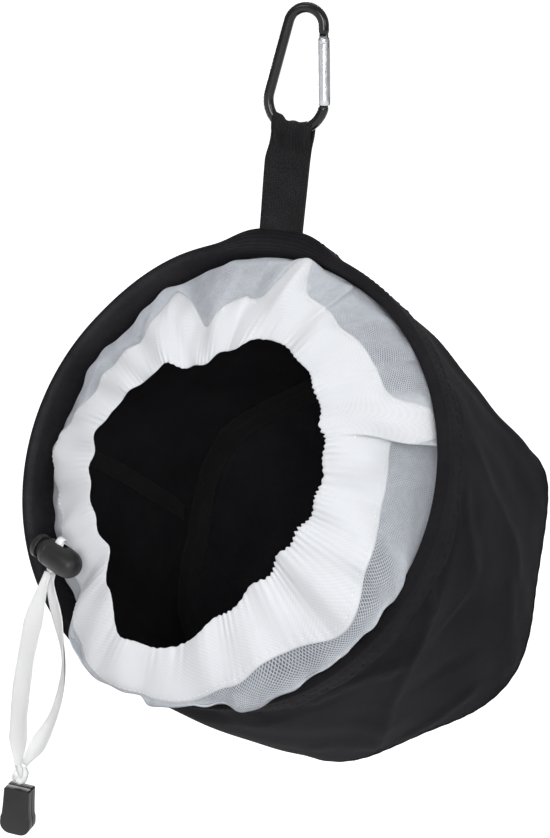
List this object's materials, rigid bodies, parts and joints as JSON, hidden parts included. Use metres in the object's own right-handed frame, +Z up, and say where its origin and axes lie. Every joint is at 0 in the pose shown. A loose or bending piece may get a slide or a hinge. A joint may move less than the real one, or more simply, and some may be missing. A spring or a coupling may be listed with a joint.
{
  "type": "hanging peg basket",
  "caption": "Round cloth basket on a wire hoop, hung by a webbing loop and snap hook, with a white net collar that a ribbon drawstring and cord lock close.",
  "frame": {"origin": "the point inside the snap hook's top bow that bears on the line or rail it hangs from", "axes": "+Z up, -Y the side the mouth faces (it also looks up by 24.8 degrees), +X to the right of someone facing the mouth"},
  "size_m": [0.2067, 0.2439, 0.3756],
  "materials": {
    "black_aluminium": "gloss",
    "silver_aluminium": "satin",
    "steel_wire": "satin",
    "black_cloth": "matte",
    "webbing": "matte",
    "seam_tape": "matte",
    "white_net": "matte",
    "white_ribbon": "satin",
    "black_plastic": "matte"
  },
  "bodies": {
    "carabiner": {"carabiner_frame": "black_aluminium", "carabiner_rivet": "silver_aluminium"},
    "gate": {"carabiner_gate": "silver_aluminium"},
    "strap": {"hang_loop": "webbing"},
    "bag": {"hang_loop_anchor": "webbing", "rim_hoop": "steel_wire", "rim_hem": "black_cloth", "side_wall": "black_cloth", "side_seam": "seam_tape", "mesh_collar": "white_net", "drawstring_casing": "white_net", "drawstring_loop": "white_ribbon", "ribbon_lead": "white_ribbon", "ribbon_strand_left": "white_ribbon", "ribbon_strand_right": "white_ribbon", "ribbon_knot": "white_ribbon", "cord_end": "black_plastic"},
    "base": {"base_panel": "black_cloth", "base_binding": "seam_tape"},
    "lock": {"lock_barrel": "black_plastic", "lock_spring": "steel_wire"},
    "plunger": {"lock_plunger": "black_plastic"}
  },
  "joints": [
    {"name": "gate_hinge", "type": "hinge", "parent": "carabiner", "child": "gate", "pos_m": [0.00843, 0.00226, -0.01057], "axis": [-0.2588, 0.9659, 0], "range_deg": [0, 28], "stiffness_Nm_per_rad": 0.02, "springref_deg": -11.46},
    {"name": "loop_swing", "type": "hinge", "parent": "carabiner", "child": "strap", "pos_m": [0, 0, -0.0501], "axis": [0.9659, 0.2588, 0], "range_deg": [-60, 60], "deforming": ["hang_loop"]},
    {"name": "loop_flex", "type": "hinge", "parent": "strap", "child": "bag", "pos_m": [0, 0, -0.0955], "axis": [1, 0, 0], "range_deg": [-40, 40]},
    {"name": "base_collapse", "type": "slide", "parent": "bag", "child": "base", "axis": [0, -0.9078, 0.4195], "range_m": [0, 0.116], "deforming": ["side_wall", "side_seam"]},
    {"name": "lock_slide", "type": "slide", "parent": "bag", "child": "lock", "axis": [-0.215, -0.1216, -0.969], "range_m": [0, 0.055], "deforming": ["ribbon_strand_left", "ribbon_strand_right"]},
    {"name": "lock_button", "type": "slide", "parent": "lock", "child": "plunger", "axis": [0.9743, -0.0944, -0.2043], "range_m": [0, 0.0024], "stiffness_N_per_m": 400, "springref_m": -0.002, "deforming": ["lock_spring"]}
  ]
}
